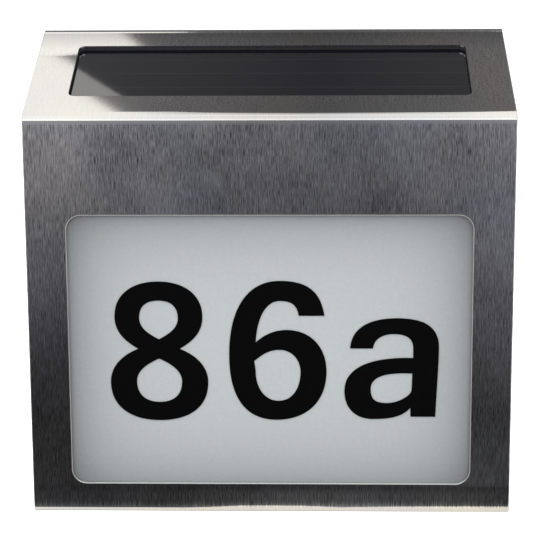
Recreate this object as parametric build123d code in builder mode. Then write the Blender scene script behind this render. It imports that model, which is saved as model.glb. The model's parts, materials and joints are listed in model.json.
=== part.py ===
from build123d import *
from math import cos, radians, sin, tan
import os

# Illuminated house number sign: a folded steel cover with a frosted window and
# stuck-on characters, a solar panel in its sloped roof, and a moulded case that
# fills it from behind and hangs on two wall screws.
# X runs along the wall, +Y points into the wall, +Z is up. The origin is the
# middle of the base's rear edge, so the wall face is y = 0 and the base z = 0.

# ---------------------------------------------------------------- overall form
WIDTH = 200.0
DEPTH = 58.0
FRONT_HEIGHT = 166.9            # to the corner where front and roof would meet
ROOF = radians(30.8)
ROOF_LENGTH = DEPTH / cos(ROOF)
RIDGE_HEIGHT = FRONT_HEIGHT + DEPTH * tan(ROOF)

# ---------------------------------------------------------------- folded cover
SHEET = 0.8
FOOT_BEND = 2.0                 # outside radius, front to base
BROW_BEND = 4.0                 # outside radius, front to roof
RIDGE_BEND = 1.2                # outside radius, roof to rear flange
EDGE_ROUND = 0.5                # ground edges along both sides
FLANGE_DROP = 9.0               # rear flange that the case hooks under
WINDOW_SIDE = 16.8              # steel beside the window
WINDOW_SILL = 12.7              # steel below it
WINDOW_HEAD = 40.9              # steel above it
WINDOW_CORNER = 6.0
WINDOW_WIDTH = WIDTH - 2 * WINDOW_SIDE
WINDOW_HEIGHT = FRONT_HEIGHT - WINDOW_SILL - WINDOW_HEAD
WINDOW_MIDDLE = WINDOW_SILL + WINDOW_HEIGHT / 2
APERTURE_SIDE = 17.0            # steel beside the roof's aperture
APERTURE_START = 13.8           # steel below it, up the roof from the brow corner
APERTURE_END = 14.9             # steel above it, down the roof from the ridge corner
APERTURE_CORNER = 2.8
APERTURE_WIDTH = WIDTH - 2 * APERTURE_SIDE
APERTURE_LENGTH = ROOF_LENGTH - APERTURE_START - APERTURE_END
APERTURE_MIDDLE = APERTURE_START + APERTURE_LENGTH / 2
WEEP_HOLE_RADIUS = 2.0
WEEP_HOLE_SPACING = 120.0
WEEP_HOLE_SETBACK = 8.0         # from the front

# ---------------------------------------------------------------- rear case
CASE_GAP = 0.2                  # between case and cover, all round
CASE_WALL = 3.2
BACK_WALL = 2.4
ROOF_WALL = 2.0                 # under the solar panel
CHAMBER_RISE = 6.8              # light chamber above the window's upper edge
PANE_LEDGE = 1.6                # step that the pane rests against
FLANGE_GAP = 0.3
CASE_INSET = SHEET + CASE_GAP
CASE_HALF = WIDTH / 2 - CASE_INSET
INNER_HALF = CASE_HALF - CASE_WALL
CHAMBER_FLOOR = CASE_INSET + CASE_WALL
CHAMBER_TOP = WINDOW_SILL + WINDOW_HEIGHT + CHAMBER_RISE
CHAMBER_HEIGHT = CHAMBER_TOP - CHAMBER_FLOOR
SHELF_TOP = CHAMBER_TOP + CASE_WALL
WALL_PAD_TOP = RIDGE_HEIGHT - FLANGE_DROP - FLANGE_GAP

# ---------------------------------------------------------------- window pane and tape
TAPE = 0.5
TAPE_SETBACK = 1.5              # from the window's cut edge
TAPE_BAND = 6.0
PANE = 3.0
PANE_CLEARANCE = 0.3
PANE_CORNER = 3.0
PANE_EDGE = CHAMBER_FLOOR - PANE_LEDGE + PANE_CLEARANCE
PANE_FRONT = -(DEPTH - SHEET - TAPE)
PANE_REAR = PANE_FRONT + PANE
PANE_TOP = CHAMBER_TOP + PANE_LEDGE - PANE_CLEARANCE
PANE_WIDTH = WIDTH - 2 * PANE_EDGE
PANE_HEIGHT = PANE_TOP - PANE_EDGE
PANE_MIDDLE = (PANE_TOP + PANE_EDGE) / 2

# ---------------------------------------------------------------- characters
VINYL = 0.3
DIGIT_HEIGHT = 58.0
BASELINE = 40.5                 # above the base
EIGHT_X = -46.0
SIX_X = 3.3
LETTER_X = 50.4

# ---------------------------------------------------------------- solar panel
PANEL_LAP = 6.0                 # panel beyond the aperture at both ends
PANEL_LAP_BELOW = 2.55
PANEL_LAP_ABOVE = 4.65
PANEL_CORNER = 2.0
PANEL_CLEARANCE = 0.3
PANEL_RIM = 2.0
GASKET = 1.5
GASKET_SETBACK = 0.2
GLASS = 2.2
CELL = 0.3
CELL_COUNT = 4
CELL_GAP = 0.3
CELL_MARGIN = 3.0               # at both ends of a strip
CELL_EDGE = 1.7                 # above and below the strips
BACKING = 1.2
PANEL_WIDTH = APERTURE_WIDTH + 2 * PANEL_LAP
PANEL_START = APERTURE_START - PANEL_LAP_BELOW
PANEL_LENGTH = PANEL_LAP_BELOW + APERTURE_LENGTH + PANEL_LAP_ABOVE
PANEL_MIDDLE = PANEL_START + PANEL_LENGTH / 2
CELL_PITCH = (PANEL_LENGTH - 2 * CELL_EDGE) / CELL_COUNT
GLASS_DEPTH = SHEET + GASKET
CELL_DEPTH = GLASS_DEPTH + GLASS
BACKING_DEPTH = CELL_DEPTH + CELL
SEAT_DEPTH = BACKING_DEPTH + BACKING
CEILING_DEPTH = SEAT_DEPTH + ROOF_WALL
LEAD_HOLE_RADIUS = 3.0
LEAD_HOLE_UP_ROOF = 40.0

# ---------------------------------------------------------------- reflector and lamps
REFLECTOR = 1.0
REFLECTOR_CURVE = 34.0
REFLECTOR_CLEARANCE = 0.4
LED_BOARD_LENGTH = 150.0
LED_BOARD_WIDTH = 10.0
LED_BOARD = 1.6
LED_BOARD_SETBACK = 9.0         # middle of the board, behind the pane
LED_SIDE = 5.0
LED_HEIGHT = 1.6
LED_COUNT = 4
LED_PITCH = 40.0
LED_SCREW_X = 40.0
LED_LEAD_X = 68.0
LED_BOARD_Y = PANE_REAR + LED_BOARD_SETBACK
LED_BOARD_BOTTOM = CHAMBER_TOP - LED_BOARD

# ---------------------------------------------------------------- battery bay and door
BATTERY_DIAMETER = 14.4
BATTERY_LENGTH = 50.5
BATTERY_NUB_RADIUS = 2.75
BATTERY_NUB = 1.0
BATTERY_GROOVE = 0.4
BAY_CLEARANCE = 0.45
CONTACT = 0.4
CONTACT_WIDTH = 9.0
CONTACT_TAB = 3.0
CONTACT_TAB_LENGTH = 3.0
SPRING_ROOM = 7.4
BAY_WALL = 1.8
HINGE_DROP = 27.5               # hinge axis below the ridge corner
DOOR_HEIGHT = 27.0              # from the lower edge to the hinge axis
DOOR_HALF = 34.0
DOOR_SHEET = 1.8
DOOR_SINK = 0.3                 # outside face below the wall face
DOOR_CLEARANCE = 0.3
DOOR_CORNER = 2.0
KNUCKLE_RADIUS = 1.65
KNUCKLE_CLEARANCE = 0.9
PIN_RADIUS = 1.0
PIN_LENGTH = 1.8
PIN_GAP = 0.05
CHEEK = 3.6
SEAL = 0.9
SEAL_BAND = 1.5
SEAL_GAP = 0.1
HINGE_Y = -(DOOR_SINK + KNUCKLE_RADIUS)
HINGE_Z = RIDGE_HEIGHT - HINGE_DROP
DOOR_INSIDE = -(DOOR_SINK + DOOR_SHEET)
RECESS_FLOOR = DOOR_INSIDE - SEAL_GAP - SEAL
RECESS_HALF = DOOR_HALF + DOOR_CLEARANCE
RECESS_BOTTOM = HINGE_Z - DOOR_HEIGHT - DOOR_CLEARANCE
RECESS_TOP = HINGE_Z + KNUCKLE_RADIUS + KNUCKLE_CLEARANCE
RECESS_MIDDLE = (RECESS_TOP + RECESS_BOTTOM) / 2
BAY_LENGTH = BATTERY_LENGTH + CONTACT + SPRING_ROOM
BAY_HEIGHT = BATTERY_DIAMETER + 2 * BAY_CLEARANCE
BAY_TOP = HINGE_Z - KNUCKLE_RADIUS - KNUCKLE_CLEARANCE - SEAL_BAND
BAY_Z = BAY_TOP - BAY_HEIGHT / 2
BAY_FLOOR = RECESS_FLOOR - BAY_HEIGHT
BATTERY_Y = RECESS_FLOOR - BAY_HEIGHT / 2
DOOR_SCREW_RISE = 3.4           # above the recess's lower edge
DOOR_SCREW_RADIUS = 1.25
DOOR_SCREW_HEAD_RADIUS = 2.4
DOOR_SCREW_HEAD = 1.0
DOOR_SCREW_LENGTH = 4.2
DOOR_SCREW_CLEARANCE = 0.55     # it swings out of its boss with the door
DOOR_SCREW_Z = RECESS_BOTTOM + DOOR_SCREW_RISE
DOOR_RIB = 1.2
DOOR_RIB_LENGTH = 36.0
DOOR_RIB_PITCH = 6.0
DOOR_RIB_HEIGHT = 1.0
RECESS_WALL = 2.4
SCOOP_RADIUS = 6.0              # finger scoop under the door's lower edge
SCOOP_DEPTH = 1.6
SCOOP_X = 22.0

# ---------------------------------------------------------------- wall keyholes
KEYHOLE_SPACING = 156.0
KEYHOLE_DROP = 43.5             # entry holes below the ridge corner
KEYHOLE_ENTRY_RADIUS = 4.25
KEYHOLE_SLOT_WIDTH = 4.5
KEYHOLE_RISE = 8.0
POCKET_DEPTH = 6.0
POCKET_MARGIN = 1.2
POCKET_WALL = 1.5
KEYHOLE_Z = RIDGE_HEIGHT - KEYHOLE_DROP

# ---------------------------------------------------------------- control board and switch
BOARD = 1.6
BOARD_WIDTH = 27.0
BOARD_HEIGHT = 30.0
BOARD_SIDE_GAP = 1.6
STANDOFF = 5.6
STANDOFF_RADIUS = 2.5
BOARD_X = RECESS_HALF + CHEEK + BOARD_SIDE_GAP + BOARD_WIDTH / 2
BOARD_Z = BAY_Z
BOARD_REAR = -(BACK_WALL + STANDOFF)
BOARD_FRONT = BOARD_REAR - BOARD
BOARD_SCREW_X = 10.0
BOARD_SCREW_Z = 11.5
CHIP_WIDTH = 5.0
CHIP_LENGTH = 6.0
CHIP_HEIGHT = 1.6
CHIP_OFFSET = (-2.0, -6.0)
COIL_RADIUS = 3.0
COIL_HEIGHT = 4.0
COIL_OFFSET = (5.5, 5.0)
CAPACITOR_RADIUS = 2.5
CAPACITOR_HEIGHT = 7.0
CAPACITOR_OFFSET = (-5.5, 4.5)
SWITCH_WIDTH = 10.0
SWITCH_HEIGHT = 4.8
SWITCH_WALL_GAP = 0.3
SWITCH_TRAVEL = 4.0
SWITCH_GAP = 0.3
STEM_WIDTH = 2.4
STEM_HEIGHT = 2.0
STEM_REACH = 2.0                # into the switch body
GRIP_WIDTH = 5.0
GRIP_HEIGHT = 3.4
GRIP_SINK = 0.2
SWITCH_RECESS = 1.4
SWITCH_RECESS_MARGIN = 1.4
GRIP_GROOVE = 0.4
GRIP_GROOVE_COUNT = 3
GRIP_GROOVE_PITCH = 1.3

# ---------------------------------------------------------------- screws and leads
COVER_SCREW_X = 70.0
COVER_SCREW_SETBACK = 8.5       # from the wall face
COVER_SCREW_RADIUS = 1.45
COVER_SCREW_HEAD_RADIUS = 2.9
COVER_SCREW_HEAD = 1.5
COVER_SCREW_LENGTH = 9.5
COVER_BOSS_RADIUS = 3.5
COVER_BOSS_HEIGHT = 8.0
SMALL_SCREW_RADIUS = 0.95
SMALL_SCREW_HEAD_RADIUS = 2.0
SMALL_SCREW_HEAD = 1.3
SMALL_SCREW_BITE = 2.4          # thread beyond the board
SCREW_CLEARANCE = 0.1
DRIVE_DEPTH = 0.6
DRIVE_WIDTH = 0.6
LEAD_RADIUS = 0.55
LEAD_BEND = 6.0                 # largest bend radius of a lead
LEAD_PITCH = 3.0

os.makedirs("parts", exist_ok=True)


def save(name, piece):
    """Label a finished piece and write it as its own file."""
    piece.part.label = name
    export_step(piece.part, f"parts/{name}.step")


# ================================================================ shared geometry
def roof_plane(depth=0.0):
    """Plane parallel to the roof and depth below its outside, from the brow corner up."""
    normal = Vector(0, -sin(ROOF), cos(ROOF))
    corner = Vector(0, -DEPTH, FRONT_HEIGHT)
    return Plane(origin=corner - normal * depth, x_dir=(1, 0, 0), z_dir=normal)


def roof_point(up_roof, depth):
    """(y, z) of a point up the roof from the brow corner and depth below its outside."""
    y = -DEPTH + up_roof * cos(ROOF) + depth * sin(ROOF)
    z = FRONT_HEIGHT + up_roof * sin(ROOF) - depth * cos(ROOF)
    return y, z


def roof_height(y, depth):
    """Height at y of the plane that lies depth below the roof's outside."""
    return RIDGE_HEIGHT + y * tan(ROOF) - depth / cos(ROOF)


def upright(y):
    """Upright plane at y that faces the viewer, with X to the right and Z up."""
    return Plane(origin=(0, y, 0), x_dir=(1, 0, 0), z_dir=(0, -1, 0))


def side_outline(inset):
    """Side view of the sign in the YZ plane, moved in by inset all round."""
    with BuildSketch(Plane.YZ) as outline:
        with BuildLine():
            Polyline((0, 0), (-DEPTH, 0), (-DEPTH, FRONT_HEIGHT), (0, RIDGE_HEIGHT), close=True)
        make_face()
        foot, brow = outline.vertices().group_by(Axis.X)[0].sort_by(Axis.Y)
        ridge = outline.vertices().sort_by(Axis.Y)[-1]
        fillet(foot, FOOT_BEND)
        fillet(outline.vertices().sort_by_distance(brow)[0], BROW_BEND)
        fillet(outline.vertices().sort_by_distance(ridge)[0], RIDGE_BEND)
        if inset > 0:
            offset(amount=-inset)
    return outline.sketch


def small_screw(plane, board):
    """Pan-head screw: its head stands on the plane, its shank goes through the board below."""
    with BuildPart() as screw:
        with BuildSketch(plane):
            Circle(SMALL_SCREW_HEAD_RADIUS)
        extrude(amount=SMALL_SCREW_HEAD)
        with BuildSketch(plane):
            Circle(SMALL_SCREW_RADIUS)
        extrude(amount=-(board + SMALL_SCREW_BITE))
        with BuildSketch(plane.offset(SMALL_SCREW_HEAD)):
            Rectangle(2 * SMALL_SCREW_HEAD_RADIUS, DRIVE_WIDTH)
        extrude(amount=-DRIVE_DEPTH, mode=Mode.SUBTRACT)
    return screw.part


def cover_screw(clearance):
    """Countersunk screw that stands head down on the base, with clearance all round."""
    shank = COVER_SCREW_RADIUS + clearance
    head = COVER_SCREW_HEAD_RADIUS + clearance
    length = COVER_SCREW_LENGTH + clearance
    with BuildPart() as screw:
        with BuildSketch(Plane.XZ):
            with BuildLine():
                Polyline(
                    (0, 0), (head, 0), (shank, COVER_SCREW_HEAD), (shank, length), (0, length), close=True
                )
            make_face()
        revolve(axis=Axis.Z)
    return screw.part


COVER_SCREW_PLACES = [(x, -COVER_SCREW_SETBACK) for x in (-COVER_SCREW_X, COVER_SCREW_X)]
KEYHOLE_PLACES = [(x, KEYHOLE_Z) for x in (-KEYHOLE_SPACING / 2, KEYHOLE_SPACING / 2)]
BOARD_SCREW_PLACES = [
    (BOARD_X - BOARD_SCREW_X, BOARD_Z - BOARD_SCREW_Z),
    (BOARD_X + BOARD_SCREW_X, BOARD_Z + BOARD_SCREW_Z),
]

# ================================================================ folded cover
with BuildPart() as cover_shell:
    extrude(side_outline(0), amount=WIDTH / 2, both=True)
    ends = cover_shell.faces().filter_by(Axis.X)
    fillet(ends.edges(), EDGE_ROUND)
    extrude(side_outline(SHEET), amount=WIDTH / 2 - SHEET, both=True, mode=Mode.SUBTRACT)
    # rear opening, below the flange
    with BuildSketch(upright(0)):
        with Locations((0, SHEET)):
            opening = RIDGE_HEIGHT - FLANGE_DROP - SHEET
            Rectangle(WIDTH - 2 * SHEET, opening, align=(Align.CENTER, Align.MIN))
    extrude(amount=2 * SHEET, mode=Mode.SUBTRACT)
    # window
    with BuildSketch(upright(-DEPTH)):
        with Locations((0, WINDOW_MIDDLE)):
            RectangleRounded(WINDOW_WIDTH, WINDOW_HEIGHT, WINDOW_CORNER)
    extrude(amount=-2 * SHEET, mode=Mode.SUBTRACT)
    # roof aperture over the solar panel
    with BuildSketch(roof_plane()):
        with Locations((0, APERTURE_MIDDLE)):
            RectangleRounded(APERTURE_WIDTH, APERTURE_LENGTH, APERTURE_CORNER)
    extrude(amount=-2 * SHEET, mode=Mode.SUBTRACT)
    # weep holes and screw holes in the base
    with BuildSketch(Plane.XY):
        with Locations((0, WEEP_HOLE_SETBACK - DEPTH)):
            with GridLocations(WEEP_HOLE_SPACING, 0, 2, 1):
                Circle(WEEP_HOLE_RADIUS)
    extrude(amount=2 * SHEET, mode=Mode.SUBTRACT)
    with Locations(*[(x, y, 0) for x, y in COVER_SCREW_PLACES]):
        add(cover_screw(SCREW_CLEARANCE), mode=Mode.SUBTRACT)
save("cover_shell", cover_shell)

# ================================================================ window
with BuildPart() as window_tape:
    with BuildSketch(upright(PANE_FRONT)):
        with Locations((0, WINDOW_MIDDLE)):
            inner_width = WINDOW_WIDTH + 2 * TAPE_SETBACK
            inner_height = WINDOW_HEIGHT + 2 * TAPE_SETBACK
            inner_corner = WINDOW_CORNER + TAPE_SETBACK
            RectangleRounded(
                inner_width + 2 * TAPE_BAND, inner_height + 2 * TAPE_BAND, inner_corner + TAPE_BAND
            )
            RectangleRounded(inner_width, inner_height, inner_corner, mode=Mode.SUBTRACT)
    extrude(amount=TAPE)
save("window_tape", window_tape)

with BuildPart() as window_pane:
    with BuildSketch(upright(PANE_REAR)):
        with Locations((0, PANE_MIDDLE)):
            RectangleRounded(PANE_WIDTH, PANE_HEIGHT, PANE_CORNER)
    extrude(amount=PANE)
save("window_pane", window_pane)


# ================================================================ characters, cut from vinyl
def character_plane(x):
    """Front of the pane, with the origin on the baseline at a character's middle."""
    return Plane(origin=(x, PANE_FRONT, BASELINE), x_dir=(1, 0, 0), z_dir=(0, -1, 0))


def cut(*points):
    """Cut line of a character, curved through four points and straight through two.

    The points are hundredths of the digit height.
    """
    placed = [(x * DIGIT_HEIGHT / 100, z * DIGIT_HEIGHT / 100) for x, z in points]
    return Line(*placed) if len(placed) == 2 else Bezier(*placed)


with BuildPart() as digit_eight:
    with BuildSketch(character_plane(EIGHT_X)):
        with BuildLine():
            cut((0, 100.0), (19.7, 100.0), (31.4, 89.8), (31.4, 74.5))
            cut((31.4, 74.5), (31.4, 64.0), (25.0, 56.9), (14.8, 51.2))
            cut((14.8, 51.2), (24.1, 47.6), (35.0, 40.0), (35.0, 26.7))
            cut((35.0, 26.7), (35.0, 8.4), (21.0, -1.4), (0, -1.4))
            mirror(about=Plane.YZ)
        make_face()
        with BuildLine():
            cut((0, 86.2), (7.8, 86.2), (13.8, 82.9), (13.8, 73.6))
            cut((13.8, 73.6), (13.8, 65.9), (6.7, 61.7), (0, 58.1))
            mirror(about=Plane.YZ)
        make_face(mode=Mode.SUBTRACT)
        with BuildLine():
            cut((0, 44.0), (6.0, 41.4), (16.2, 36.2), (16.2, 27.4))
            cut((16.2, 27.4), (16.2, 17.2), (9.7, 12.1), (0, 12.1))
            mirror(about=Plane.YZ)
        make_face(mode=Mode.SUBTRACT)
    extrude(amount=VINYL)
save("digit_eight", digit_eight)

with BuildPart() as digit_six:
    with BuildSketch(character_plane(SIX_X)):
        with BuildLine():
            cut((33.3, 75.3), (31.0, 89.0), (25.3, 100.5), (1.7, 100.5))
            cut((1.7, 100.5), (-23.6, 100.5), (-34.8, 77.1), (-34.8, 46.0))
            cut((-34.8, 46.0), (-34.8, 16.0), (-23.8, -0.9), (-1.2, -0.9))
            cut((-1.2, -0.9), (20.7, -0.9), (34.8, 12.9), (34.8, 34.7))
            cut((34.8, 34.7), (34.8, 51.9), (24.0, 65.0), (6.4, 65.0))
            cut((6.4, 65.0), (-2.9, 65.0), (-10.5, 61.0), (-15.7, 55.9))
            cut((-15.7, 55.9), (-15.5, 64.7), (-12.1, 86.0), (1.7, 86.0))
            cut((1.7, 86.0), (9.5, 86.0), (13.8, 83.4), (15.0, 75.3))
            cut((15.0, 75.3), (33.3, 75.3))
        make_face()
        with BuildLine():
            cut((1.2, 50.5), (9.5, 50.5), (16.2, 44.1), (16.2, 34.1))
            cut((16.2, 34.1), (16.2, 24.3), (11.7, 13.1), (0.2, 13.1))
            cut((0.2, 13.1), (-8.8, 13.1), (-15.9, 21.9), (-15.9, 34.5))
            cut((-15.9, 34.5), (-16.0, 37.2), (-16.6, 40.0), (-16.9, 42.4))
            cut((-16.9, 42.4), (-11.4, 46.7), (-6.9, 50.5), (1.2, 50.5))
        make_face(mode=Mode.SUBTRACT)
    extrude(amount=VINYL)
save("digit_six", digit_six)

with BuildPart() as letter_a:
    with BuildSketch(character_plane(LETTER_X)):
        with BuildLine():
            cut((31.6, 1.6), (31.9, 14.8), (33.6, 38.1), (33.6, 52.2))
            cut((33.6, 52.2), (33.6, 67.9), (22.1, 73.6), (4.1, 73.6))
            cut((4.1, 73.6), (-14.7, 73.6), (-28.4, 67.8), (-29.7, 51.6))
            cut((-29.7, 51.6), (-13.3, 51.6))
            cut((-13.3, 51.6), (-12.6, 59.0), (-6.0, 62.1), (1.7, 62.1))
            cut((1.7, 62.1), (10.2, 62.1), (15.3, 59.0), (15.3, 51.7))
            cut((15.3, 51.7), (15.3, 44.7))
            cut((15.3, 44.7), (1.2, 45.2), (-33.6, 44.3), (-33.6, 20.5))
            cut((-33.6, 20.5), (-33.6, 8.3), (-26.4, -0.2), (-12.8, -0.2))
            cut((-12.8, -0.2), (-2.8, -0.2), (7.6, 0.9), (13.6, 8.1))
            cut((13.6, 8.1), (13.8, 1.6))
            cut((13.8, 1.6), (31.6, 1.6))
        make_face()
        with BuildLine():
            cut((14.8, 33.4), (14.8, 29.1), (14.5, 25.2), (14.5, 21.7))
            cut((14.5, 21.7), (14.5, 17.2), (4.8, 11.6), (-2.9, 11.6))
            cut((-2.9, 11.6), (-11.7, 11.6), (-14.8, 14.3), (-14.8, 22.1))
            cut((-14.8, 22.1), (-14.8, 34.7), (6.6, 33.6), (14.8, 33.4))
        make_face(mode=Mode.SUBTRACT)
    extrude(amount=VINYL)
save("letter_a", letter_a)

# ================================================================ solar panel
with BuildPart() as panel_gasket:
    with BuildSketch(roof_plane(GLASS_DEPTH)):
        with Locations((0, PANEL_MIDDLE)):
            RectangleRounded(PANEL_WIDTH, PANEL_LENGTH, PANEL_CORNER)
        with Locations((0, APERTURE_MIDDLE)):
            RectangleRounded(
                APERTURE_WIDTH + 2 * GASKET_SETBACK,
                APERTURE_LENGTH + 2 * GASKET_SETBACK,
                APERTURE_CORNER + GASKET_SETBACK,
                mode=Mode.SUBTRACT,
            )
    extrude(amount=GASKET)
save("panel_gasket", panel_gasket)

with BuildPart() as solar_glass:
    with BuildSketch(roof_plane(CELL_DEPTH)):
        with Locations((0, PANEL_MIDDLE)):
            RectangleRounded(PANEL_WIDTH, PANEL_LENGTH, PANEL_CORNER)
    extrude(amount=GLASS)
save("solar_glass", solar_glass)

with BuildPart() as solar_cells:
    with BuildSketch(roof_plane(BACKING_DEPTH)):
        with Locations((0, PANEL_MIDDLE)):
            with GridLocations(0, CELL_PITCH, 1, CELL_COUNT):
                Rectangle(PANEL_WIDTH - 2 * CELL_MARGIN, CELL_PITCH - CELL_GAP)
    extrude(amount=CELL)
save("solar_cells", solar_cells)

with BuildPart() as solar_backing:
    with BuildSketch(roof_plane(SEAT_DEPTH)):
        with Locations((0, PANEL_MIDDLE)):
            RectangleRounded(PANEL_WIDTH, PANEL_LENGTH, PANEL_CORNER)
    extrude(amount=BACKING)
save("solar_backing", solar_backing)

# ================================================================ rear case
CAVITY_FRONT = -(DEPTH - CASE_INSET - CASE_WALL)
PANEL_POCKET_START = PANEL_START - PANEL_CLEARANCE - PANEL_RIM
BROW_DEPTH = CASE_INSET + ROOF_WALL

with BuildPart() as rear_case:
    extrude(side_outline(CASE_INSET), amount=CASE_HALF, both=True)
    # pad that fills the cover's rear opening and lies on the wall
    with BuildSketch(upright(0)):
        with Locations((0, CASE_INSET)):
            Rectangle(2 * CASE_HALF, WALL_PAD_TOP - CASE_INSET, align=(Align.CENTER, Align.MIN))
    extrude(amount=CASE_INSET)
    # light chamber, open to the front, with a step for the pane
    with BuildSketch(upright(-BACK_WALL)):
        with Locations((0, CHAMBER_FLOOR)):
            Rectangle(2 * INNER_HALF, CHAMBER_HEIGHT, align=(Align.CENTER, Align.MIN))
    extrude(amount=DEPTH, mode=Mode.SUBTRACT)
    with BuildSketch(upright(PANE_REAR)):
        with Locations((0, PANE_MIDDLE)):
            RectangleRounded(
                PANE_WIDTH + 2 * PANE_CLEARANCE,
                PANE_HEIGHT + 2 * PANE_CLEARANCE,
                PANE_CORNER + PANE_CLEARANCE,
            )
    extrude(amount=2 * PANE, mode=Mode.SUBTRACT)
    # electronics compartment above the shelf
    with BuildSketch(Plane.YZ):
        with BuildLine():
            Polyline(
                (-BACK_WALL, SHELF_TOP),
                (CAVITY_FRONT, SHELF_TOP),
                (CAVITY_FRONT, roof_height(CAVITY_FRONT, BROW_DEPTH)),
                roof_point(PANEL_POCKET_START, BROW_DEPTH),
                roof_point(PANEL_POCKET_START, CEILING_DEPTH),
                (-BACK_WALL, roof_height(-BACK_WALL, CEILING_DEPTH)),
                close=True,
            )
        make_face()
    extrude(amount=INNER_HALF, both=True, mode=Mode.SUBTRACT)
    # pocket for the solar panel, and a hole for its leads
    with BuildSketch(roof_plane(SEAT_DEPTH)):
        with Locations((0, PANEL_MIDDLE)):
            RectangleRounded(
                PANEL_WIDTH + 2 * PANEL_CLEARANCE,
                PANEL_LENGTH + 2 * PANEL_CLEARANCE,
                PANEL_CORNER + PANEL_CLEARANCE,
            )
    extrude(amount=SEAT_DEPTH, mode=Mode.SUBTRACT)
    with BuildSketch(roof_plane(SEAT_DEPTH)):
        with Locations((BOARD_X, LEAD_HOLE_UP_ROOF)):
            Circle(LEAD_HOLE_RADIUS)
    extrude(amount=-2 * ROOF_WALL, mode=Mode.SUBTRACT)
    # walls round the battery bay and the door's recess, behind the back wall
    with BuildSketch(upright(0)):
        with Locations((0, RECESS_MIDDLE)):
            Rectangle(2 * (RECESS_HALF + CHEEK), RECESS_TOP - RECESS_BOTTOM + 2 * RECESS_WALL)
    extrude(amount=RECESS_WALL - RECESS_FLOOR)
    with BuildSketch(upright(RECESS_FLOOR)):
        with Locations((0, BAY_Z)):
            Rectangle(BAY_LENGTH + 2 * BAY_WALL, BAY_HEIGHT + 2 * BAY_WALL)
    extrude(amount=BAY_HEIGHT + BAY_WALL)
    # standoffs, bosses and keyhole pockets
    with BuildSketch(upright(-BACK_WALL)):
        with Locations(*BOARD_SCREW_PLACES):
            Circle(STANDOFF_RADIUS)
    extrude(amount=STANDOFF)
    with BuildSketch(Plane.XY.offset(CHAMBER_FLOOR)):
        with Locations(*COVER_SCREW_PLACES):
            Circle(COVER_BOSS_RADIUS)
    extrude(amount=COVER_BOSS_HEIGHT)
    pocket_radius = KEYHOLE_ENTRY_RADIUS + POCKET_MARGIN
    with BuildSketch(upright(-BACK_WALL)):
        with Locations(*[(x, z + KEYHOLE_RISE / 2) for x, z in KEYHOLE_PLACES]):
            SlotCenterToCenter(KEYHOLE_RISE, 2 * (pocket_radius + POCKET_WALL), rotation=90)
    extrude(amount=POCKET_DEPTH + POCKET_WALL)
    with BuildSketch(upright(-BACK_WALL)):
        with Locations(*[(x, z + KEYHOLE_RISE / 2) for x, z in KEYHOLE_PLACES]):
            SlotCenterToCenter(KEYHOLE_RISE, 2 * pocket_radius, rotation=90)
    extrude(amount=POCKET_DEPTH, mode=Mode.SUBTRACT)
    # keyholes through the back wall
    with BuildSketch(upright(0)):
        with Locations(*KEYHOLE_PLACES):
            Circle(KEYHOLE_ENTRY_RADIUS)
            Rectangle(KEYHOLE_SLOT_WIDTH, KEYHOLE_RISE, align=(Align.CENTER, Align.MIN))
        with Locations(*[(x, z + KEYHOLE_RISE) for x, z in KEYHOLE_PLACES]):
            Circle(KEYHOLE_SLOT_WIDTH / 2)
    extrude(amount=BACK_WALL, mode=Mode.SUBTRACT)
    # door recess, with a deeper trough for the hinge knuckle
    with BuildSketch(upright(0)):
        with Locations((0, RECESS_MIDDLE)):
            Rectangle(2 * RECESS_HALF, RECESS_TOP - RECESS_BOTTOM)
    extrude(amount=-RECESS_FLOOR, mode=Mode.SUBTRACT)
    with BuildSketch(Plane.YZ):
        with Locations((HINGE_Y, HINGE_Z)):
            Circle(KNUCKLE_RADIUS + DOOR_CLEARANCE)
    extrude(amount=RECESS_HALF, both=True, mode=Mode.SUBTRACT)
    with BuildSketch(Plane.YZ):
        with Locations((HINGE_Y, HINGE_Z)):
            Circle(PIN_RADIUS + PIN_GAP)
    extrude(amount=DOOR_HALF + PIN_LENGTH + DOOR_CLEARANCE, both=True, mode=Mode.SUBTRACT)
    with BuildSketch(upright(0)):
        with Locations((SCOOP_X, RECESS_BOTTOM)):
            Circle(SCOOP_RADIUS)
    extrude(amount=SCOOP_DEPTH, mode=Mode.SUBTRACT)
    # battery bay and the slots for its contact tabs
    with BuildSketch(upright(RECESS_FLOOR)):
        with Locations((0, BAY_Z)):
            Rectangle(BAY_LENGTH, BAY_HEIGHT)
    extrude(amount=BAY_HEIGHT, mode=Mode.SUBTRACT)
    with BuildSketch(upright(BAY_FLOOR)):
        for side in (-1, 1):
            with Locations((side * (BAY_LENGTH - CONTACT) / 2, BAY_Z)):
                Rectangle(CONTACT + 2 * SCREW_CLEARANCE, CONTACT_TAB + 2 * SCREW_CLEARANCE)
    extrude(amount=BAY_WALL, mode=Mode.SUBTRACT)
    with BuildSketch(upright(RECESS_FLOOR)):
        with Locations((0, DOOR_SCREW_Z)):
            Circle(DOOR_SCREW_RADIUS + DOOR_SCREW_CLEARANCE)
    extrude(amount=DOOR_SINK + DOOR_SCREW_LENGTH + DOOR_SCREW_CLEARANCE + RECESS_FLOOR, mode=Mode.SUBTRACT)
    # switch opening, sunk from the outside
    with BuildSketch(upright(0)):
        with Locations((BOARD_X, BOARD_Z)):
            Rectangle(
                GRIP_WIDTH + SWITCH_TRAVEL + 2 * SWITCH_RECESS_MARGIN,
                GRIP_HEIGHT + 2 * SWITCH_RECESS_MARGIN,
            )
    extrude(amount=SWITCH_RECESS, mode=Mode.SUBTRACT)
    with BuildSketch(upright(0)):
        with Locations((BOARD_X, BOARD_Z)):
            Rectangle(STEM_WIDTH + SWITCH_TRAVEL + 2 * SWITCH_GAP, STEM_HEIGHT + 2 * SWITCH_GAP)
    extrude(amount=BACK_WALL, mode=Mode.SUBTRACT)
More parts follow.
